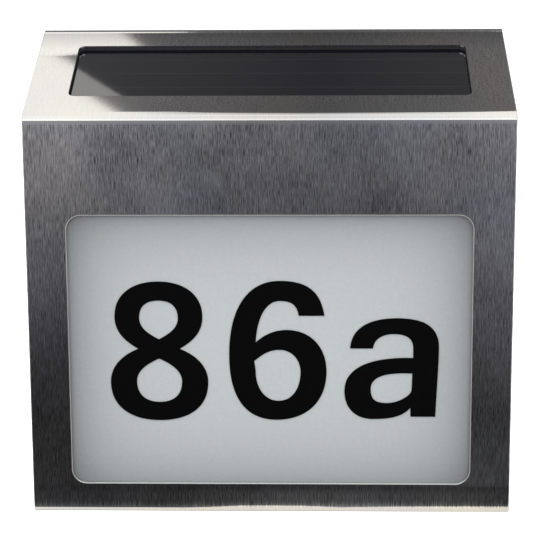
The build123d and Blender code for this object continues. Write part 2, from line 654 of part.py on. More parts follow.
    # screw holes
    with Locations(*[(x, y, 0) for x, y in COVER_SCREW_PLACES]):
        add(cover_screw(SCREW_CLEARANCE), mode=Mode.SUBTRACT)
    with BuildSketch(upright(BOARD_REAR)):
        with Locations(*BOARD_SCREW_PLACES):
            Circle(SMALL_SCREW_RADIUS)
    extrude(amount=-(SMALL_SCREW_BITE + SCREW_CLEARANCE), mode=Mode.SUBTRACT)
    with BuildSketch(Plane.XY.offset(CHAMBER_TOP)):
        with Locations((0, LED_BOARD_Y)):
            with GridLocations(2 * LED_SCREW_X, 0, 2, 1):
                Circle(SMALL_SCREW_RADIUS)
    extrude(amount=SMALL_SCREW_BITE + SCREW_CLEARANCE, mode=Mode.SUBTRACT)
    with BuildSketch(Plane.XY.offset(CHAMBER_TOP)):
        with Locations((LED_LEAD_X, LED_BOARD_Y)):
            Circle(LEAD_HOLE_RADIUS)
    extrude(amount=CASE_WALL, mode=Mode.SUBTRACT)
save("rear_case", rear_case)

# ================================================================ reflector and lamps
with BuildPart() as reflector:
    back = -BACK_WALL
    floor = CHAMBER_FLOOR
    top = CHAMBER_TOP - REFLECTOR_CLEARANCE
    lip = PANE_REAR + REFLECTOR_CLEARANCE
    inner_curve = REFLECTOR_CURVE - REFLECTOR
    with BuildSketch(Plane.YZ):
        with BuildLine():
            Line((back, top), (back, floor + REFLECTOR_CURVE))
            RadiusArc((back, floor + REFLECTOR_CURVE), (back - REFLECTOR_CURVE, floor), REFLECTOR_CURVE)
            Polyline(
                (back - REFLECTOR_CURVE, floor),
                (lip, floor),
                (lip, floor + REFLECTOR),
                (back - REFLECTOR_CURVE, floor + REFLECTOR),
            )
            RadiusArc(
                (back - REFLECTOR_CURVE, floor + REFLECTOR),
                (back - REFLECTOR, floor + REFLECTOR_CURVE),
                -inner_curve,
            )
            Polyline((back - REFLECTOR, floor + REFLECTOR_CURVE), (back - REFLECTOR, top), (back, top))
        make_face()
    extrude(amount=INNER_HALF - REFLECTOR_CLEARANCE, both=True)
save("reflector", reflector)

with BuildPart() as led_board:
    with BuildSketch(Plane.XY.offset(LED_BOARD_BOTTOM)):
        with Locations((0, LED_BOARD_Y)):
            Rectangle(LED_BOARD_LENGTH, LED_BOARD_WIDTH)
            with GridLocations(2 * LED_SCREW_X, 0, 2, 1):
                Circle(SMALL_SCREW_RADIUS + SCREW_CLEARANCE, mode=Mode.SUBTRACT)
    extrude(amount=LED_BOARD)
save("led_board", led_board)

with BuildPart() as leds:
    with BuildSketch(Plane.XY.offset(LED_BOARD_BOTTOM)):
        with Locations((0, LED_BOARD_Y)):
            with GridLocations(LED_PITCH, 0, LED_COUNT, 1):
                RectangleRounded(LED_SIDE, LED_SIDE, LED_SIDE / 10)
    extrude(amount=-LED_HEIGHT)
save("leds", leds)

with BuildPart() as led_board_screws:
    for x in (-LED_SCREW_X, LED_SCREW_X):
        seat = Plane(origin=(x, LED_BOARD_Y, LED_BOARD_BOTTOM), x_dir=(1, 0, 0), z_dir=(0, 0, -1))
        add(small_screw(seat, LED_BOARD))
save("led_board_screws", led_board_screws)

# ================================================================ battery and its contacts
NUB_X = -BAY_LENGTH / 2 + CONTACT
with BuildPart() as battery_cell:
    radius = BATTERY_DIAMETER / 2
    body_start = NUB_X + BATTERY_NUB
    body_end = NUB_X + BATTERY_LENGTH
    with BuildSketch(Plane(origin=(0, BATTERY_Y, BAY_Z), x_dir=(1, 0, 0), z_dir=(0, -1, 0))):
        with BuildLine():
            Polyline(
                (NUB_X, 0),
                (NUB_X, BATTERY_NUB_RADIUS),
                (body_start, BATTERY_NUB_RADIUS),
                (body_start, radius - BATTERY_GROOVE),
                (body_start + BATTERY_GROOVE, radius),
                (body_end - BATTERY_GROOVE, radius),
                (body_end, radius - BATTERY_GROOVE),
                (body_end, 0),
                close=True,
            )
        make_face()
    revolve(axis=Axis((0, BATTERY_Y, BAY_Z), (1, 0, 0)))
save("battery_cell", battery_cell)

with BuildPart() as positive_contact:
    with BuildSketch(Plane.YZ.offset(-BAY_LENGTH / 2)):
        with Locations((BATTERY_Y, BAY_Z)):
            Rectangle(CONTACT_WIDTH, CONTACT_WIDTH)
        with Locations((BATTERY_Y, BAY_Z)):
            reach = BATTERY_Y - BAY_FLOOR + BAY_WALL + CONTACT_TAB_LENGTH
            Rectangle(reach, CONTACT_TAB, align=(Align.MAX, Align.CENTER))
    extrude(amount=CONTACT)
save("positive_contact", positive_contact)

with BuildPart() as spring_contact:
    wall_x = (BAY_LENGTH - CONTACT) / 2
    cell_x = NUB_X + BATTERY_LENGTH + CONTACT / 2
    top_y = BATTERY_Y + CONTACT_WIDTH / 2
    low_y = BATTERY_Y - CONTACT_WIDTH / 2
    with BuildSketch(Plane.XY.offset(BAY_Z)):
        with BuildLine():
            FilletPolyline(
                (wall_x, low_y),
                (wall_x, top_y),
                (cell_x, BATTERY_Y),
                ((wall_x + cell_x) / 2, low_y),
                radius=3 * CONTACT,
            )
        trace(line_width=CONTACT)
    extrude(amount=CONTACT_WIDTH / 2, both=True)
    with BuildSketch(Plane.XY.offset(BAY_Z)):
        with Locations((wall_x, low_y)):
            reach = low_y - BAY_FLOOR + BAY_WALL + CONTACT_TAB_LENGTH
            Rectangle(CONTACT, reach, align=(Align.CENTER, Align.MAX))
    extrude(amount=CONTACT_TAB / 2, both=True)
save("spring_contact", spring_contact)

# ================================================================ battery door
with BuildPart() as battery_door:
    with BuildSketch(Plane.YZ):
        with Locations((-DOOR_SINK, HINGE_Z)):
            Rectangle(DOOR_SHEET, DOOR_HEIGHT, align=(Align.MAX, Align.MAX))
        with Locations((HINGE_Y, HINGE_Z)):
            Circle(KNUCKLE_RADIUS)
    extrude(amount=DOOR_HALF, both=True)
    fillet(battery_door.edges().filter_by(Axis.Y).group_by(Axis.Z)[0], DOOR_CORNER)
    with BuildSketch(Plane.YZ):
        with Locations((HINGE_Y, HINGE_Z)):
            Circle(PIN_RADIUS)
    extrude(amount=DOOR_HALF + PIN_LENGTH, both=True)
    # ribs that keep the cell down in its bay
    with BuildSketch(upright(DOOR_INSIDE)):
        with Locations((0, BAY_Z)):
            with GridLocations(0, DOOR_RIB_PITCH, 1, 2):
                Rectangle(DOOR_RIB_LENGTH, DOOR_RIB)
    extrude(amount=DOOR_RIB_HEIGHT)
    # stepped hole for the captive screw
    with BuildSketch(upright(-DOOR_SINK)):
        with Locations((0, DOOR_SCREW_Z)):
            Circle(DOOR_SCREW_HEAD_RADIUS + SCREW_CLEARANCE)
    extrude(amount=DOOR_SCREW_HEAD, mode=Mode.SUBTRACT)
    with BuildSketch(upright(-DOOR_SINK)):
        with Locations((0, DOOR_SCREW_Z)):
            Circle(DOOR_SCREW_RADIUS + SCREW_CLEARANCE)
    extrude(amount=2 * DOOR_SHEET, mode=Mode.SUBTRACT)
save("battery_door", battery_door)

with BuildPart() as door_screw:
    with BuildSketch(upright(-DOOR_SINK)):
        with Locations((0, DOOR_SCREW_Z)):
            Circle(DOOR_SCREW_HEAD_RADIUS)
    extrude(amount=DOOR_SCREW_HEAD)
    with BuildSketch(upright(-DOOR_SINK)):
        with Locations((0, DOOR_SCREW_Z)):
            Circle(DOOR_SCREW_RADIUS)
    extrude(amount=DOOR_SCREW_LENGTH)
    with BuildSketch(upright(-DOOR_SINK)):
        with Locations((0, DOOR_SCREW_Z)):
            Rectangle(2 * DOOR_SCREW_HEAD_RADIUS, DRIVE_WIDTH)
    extrude(amount=DRIVE_DEPTH, mode=Mode.SUBTRACT)
save("door_screw", door_screw)

with BuildPart() as door_seal:
    with BuildSketch(upright(RECESS_FLOOR + SEAL)):
        with Locations((0, BAY_Z)):
            RectangleRounded(BAY_LENGTH + 2 * SEAL_BAND, BAY_HEIGHT + 2 * SEAL_BAND, SEAL_BAND)
            Rectangle(BAY_LENGTH, BAY_HEIGHT, mode=Mode.SUBTRACT)
    extrude(amount=SEAL)
save("door_seal", door_seal)

# ================================================================ control board and switch
with BuildPart() as control_board:
    with BuildSketch(upright(BOARD_REAR)):
        with Locations((BOARD_X, BOARD_Z)):
            Rectangle(BOARD_WIDTH, BOARD_HEIGHT)
        with Locations(*BOARD_SCREW_PLACES):
            Circle(SMALL_SCREW_RADIUS + SCREW_CLEARANCE, mode=Mode.SUBTRACT)
    extrude(amount=BOARD)
save("control_board", control_board)

with BuildPart() as control_board_screws:
    for x, z in BOARD_SCREW_PLACES:
        seat = Plane(origin=(x, BOARD_FRONT, z), x_dir=(1, 0, 0), z_dir=(0, -1, 0))
        add(small_screw(seat, BOARD))
save("control_board_screws", control_board_screws)

with BuildPart() as control_chip:
    with BuildSketch(upright(BOARD_FRONT)):
        with Locations((BOARD_X + CHIP_OFFSET[0], BOARD_Z + CHIP_OFFSET[1])):
            Rectangle(CHIP_WIDTH, CHIP_LENGTH)
    extrude(amount=CHIP_HEIGHT)
    chamfer(control_chip.faces().sort_by(Axis.Y)[0].edges(), CHIP_HEIGHT / 5)
save("control_chip", control_chip)

with BuildPart() as charge_coil:
    with BuildSketch(upright(BOARD_FRONT)):
        with Locations((BOARD_X + COIL_OFFSET[0], BOARD_Z + COIL_OFFSET[1])):
            Circle(COIL_RADIUS)
    extrude(amount=COIL_HEIGHT)
    fillet(charge_coil.faces().sort_by(Axis.Y)[0].edges(), COIL_RADIUS / 6)
save("charge_coil", charge_coil)

with BuildPart() as storage_capacitor:
    with BuildSketch(upright(BOARD_FRONT)):
        with Locations((BOARD_X + CAPACITOR_OFFSET[0], BOARD_Z + CAPACITOR_OFFSET[1])):
            Circle(CAPACITOR_RADIUS)
    extrude(amount=CAPACITOR_HEIGHT)
    fillet(storage_capacitor.faces().sort_by(Axis.Y)[0].edges(), CAPACITOR_RADIUS / 6)
save("storage_capacitor", storage_capacitor)

SWITCH_FACE = -(BACK_WALL + SWITCH_WALL_GAP)
with BuildPart() as switch_body:
    with BuildSketch(upright(SWITCH_FACE)):
        with Locations((BOARD_X, BOARD_Z)):
            Rectangle(SWITCH_WIDTH, SWITCH_HEIGHT)
    extrude(amount=SWITCH_FACE - BOARD_REAR)
    with BuildSketch(upright(SWITCH_FACE)):
        with Locations((BOARD_X, BOARD_Z)):
            Rectangle(STEM_WIDTH + SWITCH_TRAVEL + 2 * SWITCH_GAP, STEM_HEIGHT + 2 * SWITCH_GAP)
    extrude(amount=STEM_REACH + SWITCH_GAP, mode=Mode.SUBTRACT)
save("switch_body", switch_body)

GRIP_INSIDE = -(SWITCH_RECESS - SWITCH_GAP)
with BuildPart() as switch_slider:
    slider_x = BOARD_X - SWITCH_TRAVEL / 2
    with BuildSketch(upright(GRIP_INSIDE)):
        with Locations((slider_x, BOARD_Z)):
            Rectangle(STEM_WIDTH, STEM_HEIGHT)
    extrude(amount=GRIP_INSIDE - SWITCH_FACE + STEM_REACH)
    with BuildSketch(upright(-GRIP_SINK)):
        with Locations((slider_x, BOARD_Z)):
            Rectangle(GRIP_WIDTH, GRIP_HEIGHT)
    extrude(amount=-GRIP_SINK - GRIP_INSIDE)
    with BuildSketch(upright(-GRIP_SINK)):
        with Locations((slider_x, BOARD_Z)):
            with GridLocations(GRIP_GROOVE_PITCH, 0, GRIP_GROOVE_COUNT, 1):
                Rectangle(GRIP_GROOVE, GRIP_HEIGHT)
    extrude(amount=GRIP_GROOVE, mode=Mode.SUBTRACT)
save("switch_slider", switch_slider)

# ================================================================ cover screws
with BuildPart() as cover_screws:
    with Locations(*[(x, y, 0) for x, y in COVER_SCREW_PLACES]):
        add(cover_screw(0))
    with BuildSketch(Plane.XY):
        with Locations(*COVER_SCREW_PLACES):
            Rectangle(1.2 * COVER_SCREW_HEAD_RADIUS, DRIVE_WIDTH)
            Rectangle(DRIVE_WIDTH, 1.2 * COVER_SCREW_HEAD_RADIUS)
    extrude(amount=DRIVE_DEPTH, mode=Mode.SUBTRACT)
save("cover_screws", cover_screws)


# ================================================================ leads inside the case
def lead(name, *points):
    """Round lead through hand-chosen points, with its bends as large as its runs allow."""
    radii = []
    for before, corner, after in zip(points, points[1:], points[2:]):
        run_in = Vector(*corner) - Vector(*before)
        run_out = Vector(*after) - Vector(*corner)
        half_turn = radians(run_in.get_angle(run_out)) / 2
        largest = 0.45 * min(run_in.length, run_out.length) / tan(half_turn)
        radii.append(min(LEAD_BEND, largest))
    with BuildPart() as wire:
        with BuildLine() as route:
            FilletPolyline(*points, radius=radii)
        path = route.wire()
        with BuildSketch(Plane(origin=path @ 0, z_dir=path % 0)):
            Circle(LEAD_RADIUS)
        sweep(path=path)
    save(name, wire)


TAB_TIP = BAY_FLOOR - BAY_WALL - CONTACT_TAB_LENGTH
TAB_X = (BAY_LENGTH - CONTACT) / 2
backing_y, backing_z = roof_point(LEAD_HOLE_UP_ROOF, SEAT_DEPTH)
for colour, shift in (("red", -LEAD_PITCH / 2), ("black", LEAD_PITCH / 2)):
    lead(
        f"solar_lead_{colour}",
        (BOARD_X + shift, backing_y, backing_z),
        (BOARD_X + shift, backing_y + 4.0, backing_z - 6.9),
        (BOARD_X + shift, BOARD_FRONT - 6.9, BOARD_Z + 2.7),
        (BOARD_X + shift, BOARD_FRONT, BOARD_Z + 2.7),
    )
    lead(
        f"led_lead_{colour}",
        (LED_LEAD_X + shift, LED_BOARD_Y, CHAMBER_TOP),
        (LED_LEAD_X + shift, LED_BOARD_Y, CHAMBER_TOP + 13.6),
        (BOARD_X + shift + 4.0, LED_BOARD_Y + 16.7, BOARD_Z - 9.3),
        (BOARD_X + shift + 4.0, BOARD_FRONT, BOARD_Z - 9.3),
    )
lead(
    "battery_lead_red",
    (-TAB_X, TAB_TIP, BAY_Z),
    (-TAB_X, TAB_TIP - 8.8, BAY_Z),
    (-14.0, TAB_TIP - 11.8, BAY_Z - 4.3),
    (10.0, TAB_TIP - 10.8, BAY_Z - 7.8),
    (33.0, TAB_TIP - 4.8, BAY_Z - 9.3),
    (46.0, TAB_TIP + 4.2, BOARD_Z - 9.1),
    (46.0, BOARD_FRONT, BOARD_Z - 9.1),
)
lead(
    "battery_lead_black",
    (TAB_X, TAB_TIP, BAY_Z),
    (TAB_X, TAB_TIP - 7.8, BAY_Z),
    (40.0, TAB_TIP - 8.8, BAY_Z - 1.8),
    (44.0, TAB_TIP + 3.2, BOARD_Z - 3.3),
    (44.0, BOARD_FRONT, BOARD_Z - 3.3),
)
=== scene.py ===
"""Illuminated house number sign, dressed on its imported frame.

Metres. X runs along the wall, +Y points into the wall, +Z is up, and the base stands on the floor.
The materials of the sign measure places and lengths in millimetres.
"""
import json
import math

import bpy
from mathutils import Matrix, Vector


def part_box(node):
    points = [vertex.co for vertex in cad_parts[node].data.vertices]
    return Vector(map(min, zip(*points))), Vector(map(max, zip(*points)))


MM = 0.001

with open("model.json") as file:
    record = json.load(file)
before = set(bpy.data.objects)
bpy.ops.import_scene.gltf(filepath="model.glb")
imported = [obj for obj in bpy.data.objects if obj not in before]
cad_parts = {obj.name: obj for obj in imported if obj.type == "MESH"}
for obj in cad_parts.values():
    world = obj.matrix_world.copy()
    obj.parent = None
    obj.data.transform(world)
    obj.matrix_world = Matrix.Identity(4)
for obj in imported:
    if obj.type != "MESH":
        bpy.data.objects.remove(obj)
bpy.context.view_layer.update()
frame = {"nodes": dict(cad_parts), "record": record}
nodes = frame["nodes"]

# ------------------------------------------------------------------ places taken from the frame
cover_low, cover_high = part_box("cover_shell")
tape_low, tape_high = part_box("window_tape")
glass_low, glass_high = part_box("solar_glass")
cells_low, cells_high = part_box("solar_cells")
battery_low, battery_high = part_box("battery_cell")

SIGN_WIDTH = cover_high.x - cover_low.x
SIGN_DEPTH = cover_high.y - cover_low.y
TAPE_REACH = 7.5 * MM               # tape beyond the window's cut edge
WINDOW_CORNER = 6.0 * MM
WINDOW_LOW = Vector((tape_low.x, tape_low.z)) + Vector((TAPE_REACH, TAPE_REACH))
WINDOW_HIGH = Vector((tape_high.x, tape_high.z)) - Vector((TAPE_REACH, TAPE_REACH))
ROOF_SLOPE = math.radians(30.8)
BROW_CORNER = Vector((0.0, cover_low.y, cover_high.z - SIGN_DEPTH * math.tan(ROOF_SLOPE)))

BLACK = (0.0, 0.0, 0.0)
WHITE = (1.0, 1.0, 1.0)


def shade_of(colour, share):
    return tuple(share * part for part in colour)


# ================================================================== shader nodes
class Value:
    """A number that changes over a surface. Python arithmetic on it adds Math nodes."""

    def __init__(self, finish, socket):
        self.finish = finish
        self.socket = socket

    def maths(self, operation, *others):
        node = self.finish.node("Math", {"operation": operation}, self, *others)
        return Value(self.finish, node.outputs[0])

    def __add__(self, other):
        return self.maths("ADD", other)

    def __radd__(self, other):
        return self.maths("ADD", other)

    def __sub__(self, other):
        return self.maths("SUBTRACT", other)

    def __rsub__(self, other):
        return self.maths("MULTIPLY", -1.0).maths("ADD", other)

    def __mul__(self, other):
        return self.maths("MULTIPLY", other)

    def __rmul__(self, other):
        return self.maths("MULTIPLY", other)

    def __truediv__(self, other):
        return self.maths("DIVIDE", other)

    def __abs__(self):
        return self.maths("ABSOLUTE")

    def smallest(self, other):
        return self.maths("MINIMUM", other)

    def largest(self, other):
        return self.maths("MAXIMUM", other)

    def within_one(self):
        """Kept between 0 and 1."""
        return self.largest(0.0).smallest(1.0)

    def above(self, edge, softness):
        """0 below the edge, 1 above it, with a soft step in between."""
        return ((self - edge) / softness + 0.5).within_one()

    def swing(self, reach):
        """How far a noise strays from its middle, times the reach."""
        return (self - 0.5) * reach


class Finish:
    """A material, or a world, under construction."""

    def __init__(self, name, library=bpy.data.materials):
        self.material = library.new(name)
        self.material.use_nodes = True
        self.tree = self.material.node_tree
        self.tree.nodes.clear()

    def node(self, kind, settings=None, *values, **named):
        """Add a node: first its settings, then its sockets' values or links."""
        node = self.tree.nodes.new("ShaderNode" + kind)
        for key, value in (settings or {}).items():
            if key == "stops":
                self.set_stops(node.color_ramp, value)
            else:
                setattr(node, key, value)
        for place, value in enumerate(values):
            self.feed(node.inputs[place], value)
        for key, value in named.items():
            self.feed(node.inputs[key.replace("_", " ")], value)
        return node

    @staticmethod
    def set_stops(ramp, stops):
        while len(ramp.elements) < len(stops):
            ramp.elements.new(1.0)
        for element, (place, colour) in zip(ramp.elements, stops):
            element.position = place
            element.color = (*colour, 1.0)

    def feed(self, socket, value):
        if isinstance(value, Value):
            value = value.socket
        if isinstance(value, bpy.types.NodeSocket):
            self.tree.links.new(value, socket)
        elif isinstance(value, tuple) and len(value) == 3 and socket.type == "RGBA":
            socket.default_value = (*value, 1.0)
        else:
            socket.default_value = value

    def place(self):
        """Object coordinates in millimetres, as three values."""
        where = self.node("TexCoord").outputs["Object"]
        parts = self.node("SeparateXYZ", None, where).outputs
        return [Value(self, part) / MM for part in parts]

    def vector(self, x, y, z):
        return self.node("CombineXYZ", None, x, y, z).outputs[0]

    def outside_of(self, x, z, low, high, corner):
        """Distance outwards from a rounded rectangle between two (x, z) corners."""
        past_x = (abs(x - (low[0] + high[0]) / 2) - ((high[0] - low[0]) / 2 - corner)).largest(0.0)
        past_z = (abs(z - (low[1] + high[1]) / 2) - ((high[1] - low[1]) / 2 - corner)).largest(0.0)
        return (past_x * past_x + past_z * past_z).maths("SQRT") - corner

    def noise(self, where, scale=1.0, detail=3.0, roughness=0.5):
        node = self.node("TexNoise", None, Vector=where, Scale=scale, Detail=detail, Roughness=roughness)
        return Value(self, node.outputs["Fac"])

    def mix_colours(self, share, first, second):
        node = self.node("Mix", {"data_type": "RGBA"})
        self.feed(node.inputs[0], share)
        self.feed(node.inputs[6], first)
        self.feed(node.inputs[7], second)
        return node.outputs[2]

    def bump(self, height, distance, strength=1.0, **under):
        """under may give the Normal that this bump lies on."""
        node = self.node("Bump", None, Height=height, Distance=distance, Strength=strength, **under)
        return node.outputs[0]

    def done(self, **sockets):
        """Close the material with one Principled shader."""
        shader = self.node("BsdfPrincipled", None, **sockets)
        self.node("OutputMaterial", None, Surface=shader.outputs[0])
        return self.material


def up_the_roof(y, z, start):
    """Distance up the roof's slope in millimetres, from a start that is in metres."""
    return (y - start.y / MM) * math.cos(ROOF_SLOPE) + (z - start.z / MM) * math.sin(ROOF_SLOPE)


# ================================================================== brushed steel
# Its cast, each time where it looks warm and where it looks cool.
ROOF_CAST = (0.67, 0.65, 0.60), (0.585, 0.60, 0.63)
FRONT_CAST = (0.92, 0.89, 0.83), (0.80, 0.82, 0.865)
CAST_SCALE = 0.02                   # of the noise that spreads it
CAST_SHIFT = 4.0                    # up through that noise
CAST_MIDDLE = 0.6
CAST_REACH = 2.0
PATCH = (-84.0, 142.0)              # (x, z) of a warmer patch on the front
PATCH_REACH = 34.0
PATCH_GAIN = 0.9

# Where the front and the ends are.
END_BAND = 0.6                      # from a side inwards, still part of that side
SKIN = 0.5                          # from the front face inwards, still part of it
BEND_HEIGHT = 2.5                   # of the bends at the foot and at the brow, which aren't front

# Marks of the brushing, which runs up the front, the roof and the ends. A scale is per mm across, a shift
# on the ends, and per mm along.
FINE_SCALE = (2.2, 7.0, 0.115)
HAIR_SCALE = (5.0, 3.0, 0.33)
SAND_SCALE = (1.1, 1.0, 1.7)
CLOUD_SCALE = (0.035, 0.02, 0.03)   # per mm along X, Y and Z
UP_SHARE = 0.9                      # how fast the way along grows with the height
BACK_SHARE = 0.45                   # and with the depth, but not on the ends
SCRATCH_COLOUR = (0.06, 0.06, 0.063)
FRONT_TONE = 0.585
FRONT_FINE = 1.716                  # how much the marks change the front's tone
FRONT_HAIR = 1.914
FRONT_CLOUD = 0.7
ROOF_TONE = 0.82
ROOF_FINE = 0.3                     # and the roof's
ROOF_SAND = 0.25
ROOF_CLOUD = 0.12
WORN_PLACE = -52.0                  # along X, where the roof's brushing gets coarser towards the right
WORN_LENGTH = 26.0
WORN_START = 4.5                    # up the roof, past the brow's bend
WORN_STEP = 2.0
WORN_LEAST = 0.7
WORN_GAIN = 3.4
ROUGHNESS = 0.06
FRONT_ROUGHNESS = 0.04              # added on the front
SCRATCH_DEPTH = 0.0015
FRONT_SCRATCH_DEPTH = 0.005         # added on the front

# What the folds left in the roof, and where its colour changes, by the distance up the roof from the brow
# corner. A tilt is a slope.
NEAR_TILT = -0.011
NEAR_TILT_LENGTH = 16.0
FAR_TILT = 0.033
FAR_TILT_START = 45.0
FAR_TILT_LENGTH = 8.0
FAR_DARKENING = 0.32                     # how much darker the colour gets up there, towards the ridge
FAR_DARKENING_START = 50.0
FAR_DARKENING_LENGTH = 13.0
LIP_START = 63.7                    # a lip that the ridge's fold raised, and the fall behind it
LIP_TOP = 64.7
LIP_TILT = 0.12
LIP_EDGE = 0.3
# painted highlight: how much brighter the lip's colour is, for the bright line below the ridge
LIP_PAINTED_HIGHLIGHT = 0.15
RIDGE_TILT = 0.30
BROW_END = 164.6                    # height where the brow's bend runs out into the front
BROW_TAIL = 0.8
BROW_TILT = 0.07

# Deburring the window's cut edge left a narrow bevel round it. The bevel's colour is a painted highlight: a
# thin light line round the window, near-white along the lower edge, which faces up.
BEVEL_PLACE = 0.05                  # outside the cut edge
BEVEL_HALF = 0.22
BEVEL_EDGE = 0.12
SILL_PAINTED_HIGHLIGHT = (0.95, 0.95, 0.95)     # painted highlight along the window's lower edge
EDGE_PAINTED_HIGHLIGHT = (0.55, 0.55, 0.55)    # painted highlight along the other edges
SILL_REACH = 1.5
BEVEL_DULL = 0.6                    # metallic look that it loses
BEVEL_ROUGHNESS = 0.3               # added


def marks(steel, scale, across, along, at_end, **kind):
    """Noise drawn out along the brushing."""
    return steel.noise(steel.vector(across * scale[0], at_end * scale[1], along * scale[2]), **kind)


def steel_cast(steel, x, y, z, on_front):
    """Warm and cool areas, with one pair of colours on the front and one elsewhere."""
    spread = steel.noise(steel.vector(x * CAST_SCALE, y * CAST_SCALE, z * CAST_SCALE + CAST_SHIFT))
    from_patch = ((x - PATCH[0]) * (x - PATCH[0]) + (z - PATCH[1]) * (z - PATCH[1])).maths("SQRT")
    in_patch = (1.0 - from_patch / PATCH_REACH).largest(0.0)
    coolness = spread.swing(CAST_REACH) + CAST_MIDDLE - in_patch * PATCH_GAIN
    elsewhere = steel.mix_colours(coolness, *ROOF_CAST)
    return steel.mix_colours(on_front, elsewhere, steel.mix_colours(coolness, *FRONT_CAST))


def fold_relief(up_roof, z):
    """Height that the folds left on the roof and at the top of the front."""
    far_start = (up_roof - FAR_TILT_START).largest(0.0)
    far_end = (up_roof - FAR_TILT_START - FAR_TILT_LENGTH).largest(0.0)
    far_rise = (far_start * far_start - far_end * far_end) * (FAR_TILT / 2 / FAR_TILT_LENGTH)
    near_rise = up_roof.largest(0.0).smallest(NEAR_TILT_LENGTH) * NEAR_TILT
    lip_rise = (up_roof - LIP_START).largest(0.0).smallest(LIP_TOP - LIP_START) * LIP_TILT
    lip_fall = (up_roof - LIP_TOP).largest(0.0) * -RIDGE_TILT
    brow_rise = ((z - BROW_END).smallest(0.0) / BROW_TAIL).maths("EXPONENT") * (-BROW_TILT * BROW_TAIL)
    return far_rise + near_rise + lip_rise + lip_fall + brow_rise


def brushed_steel():
    """Stainless sheet, brushed upwards on the front, roof and ends, and not quite flat on the roof."""
    steel = Finish("brushed_steel")
    x, y, z = steel.place()
    at_end = abs(x).above(SIGN_WIDTH / 2 / MM - END_BAND, 0.2)
    past_foot = z.above(BEND_HEIGHT, 1.0)
    past_brow = z.above(BROW_CORNER.z / MM - BEND_HEIGHT, 1.0)
    behind_skin = y.above(cover_low.y / MM + SKIN, 0.1)
    on_front = past_foot * (1.0 - past_brow) * (1.0 - behind_skin)
    up_roof = up_the_roof(y, z, BROW_CORNER)

    across = x * (1.0 - at_end) + y * at_end
    along = z * UP_SHARE + y * (1.0 - at_end) * BACK_SHARE
    fine = marks(steel, FINE_SCALE, across, along, at_end, detail=4.0, roughness=0.7)
    hair = marks(steel, HAIR_SCALE, across, along, at_end, detail=2.0)
    sand = marks(steel, SAND_SCALE, across, along, at_end, detail=1.0)
    spread = steel.vector(x * CLOUD_SCALE[0], y * CLOUD_SCALE[1], z * CLOUD_SCALE[2])
    cloud = steel.noise(spread, detail=4.0)

    on_right = x.above(WORN_PLACE, WORN_LENGTH) * up_roof.above(WORN_START, WORN_STEP) * (1.0 - at_end)
    roof_grain = (fine.swing(ROOF_FINE) + sand.swing(ROOF_SAND)) * (WORN_LEAST + on_right * WORN_GAIN)
    darkening = ((up_roof - FAR_DARKENING_START) / FAR_DARKENING_LENGTH).within_one() * FAR_DARKENING
    on_lip = up_roof.above(LIP_START, LIP_EDGE) * (1.0 - up_roof.above(LIP_TOP, LIP_EDGE))
    # The lip's colour is brightened as a painted highlight.
    roof_tone = ROOF_TONE + roof_grain + cloud.swing(ROOF_CLOUD) + on_lip * LIP_PAINTED_HIGHLIGHT
    # Darker towards the ridge, but not on the lip.
    roof_tone = roof_tone * (1.0 - darkening * (1.0 - on_lip))
    front_tone = FRONT_TONE + fine.swing(FRONT_FINE) + hair.swing(FRONT_HAIR) + cloud.swing(FRONT_CLOUD)
    tone = roof_tone * (1.0 - on_front) + front_tone * on_front
    colour = steel.mix_colours(tone.smallest(1.0), SCRATCH_COLOUR, steel_cast(steel, x, y, z, on_front))

    from_cut = steel.outside_of(x, z, WINDOW_LOW / MM, WINDOW_HIGH / MM, WINDOW_CORNER / MM)
    # Painted highlight: the bevel is coloured light grey round the window and near-white along its sill.
    # Its metallic and roughness changes are the real bevel.
    bevel_and_painted_highlight = 1.0 - abs(from_cut - BEVEL_PLACE).above(BEVEL_HALF, BEVEL_EDGE)
    past_sill = z.above(WINDOW_LOW.y / MM + SILL_REACH, 1.0)
    colour = steel.mix_colours(bevel_and_painted_highlight, colour, steel.mix_colours(past_sill, SILL_PAINTED_HIGHLIGHT, EDGE_PAINTED_HIGHLIGHT))

    roughness = ROUGHNESS + on_front * FRONT_ROUGHNESS + fine.swing(0.05) + cloud.swing(0.02)
    scratches = (fine + hair) * (SCRATCH_DEPTH + on_front * FRONT_SCRATCH_DEPTH)
    folds = steel.bump(fold_relief(up_roof, z), MM, 1.0 - at_end)
    return steel.done(
        Base_Color=colour,
        Metallic=1.0 - bevel_and_painted_highlight * BEVEL_DULL,
        Roughness=roughness + bevel_and_painted_highlight * BEVEL_ROUGHNESS,
        Normal=steel.bump(scratches, MM, Normal=folds),
        Anisotropic=0.5,
    )


# ================================================================== window
PANE_COLOUR = (0.585, 0.626, 0.652)
RIM_SHADE_FADE = 13.0                     # over which the painted shade along the window's edges fades out on the pane
PAINTED_RIM_SHADES = (0.55, 0.54, 0.40, 0.50)    # painted shade at the left, right, bottom and top edges


def frosted_acrylic():
    """Opal acrylic with a fine frosted face. Its colour is darkened along its rim as painted shade, where
    the chamber's walls would shade it.
    """
    pane = Finish("frosted_acrylic")
    x, y, z = pane.place()
    low = WINDOW_LOW / MM
    high = WINDOW_HIGH / MM
    # Painted shade: the colour darkens towards each edge of the window, by a different amount on each side.
    glow = 1.0
    for distance, shade in zip((x - low.x, high.x - x, z - low.y, high.y - z), PAINTED_RIM_SHADES):
        glow = (1.0 - (distance / -RIM_SHADE_FADE).maths("EXPONENT") * shade) * glow
    frost = pane.noise(pane.vector(x, y, z), scale=2.2, detail=2.0)
    speck = pane.noise(pane.vector(x, y, z), scale=0.55, detail=2.0)
    tone = glow * (0.95 + frost.swing(0.20) + speck.swing(0.08))
    colour = pane.mix_colours(tone, BLACK, PANE_COLOUR)
    return pane.done(Base_Color=colour, Roughness=0.55, Normal=pane.bump(frost, 0.02 * MM, 0.5))


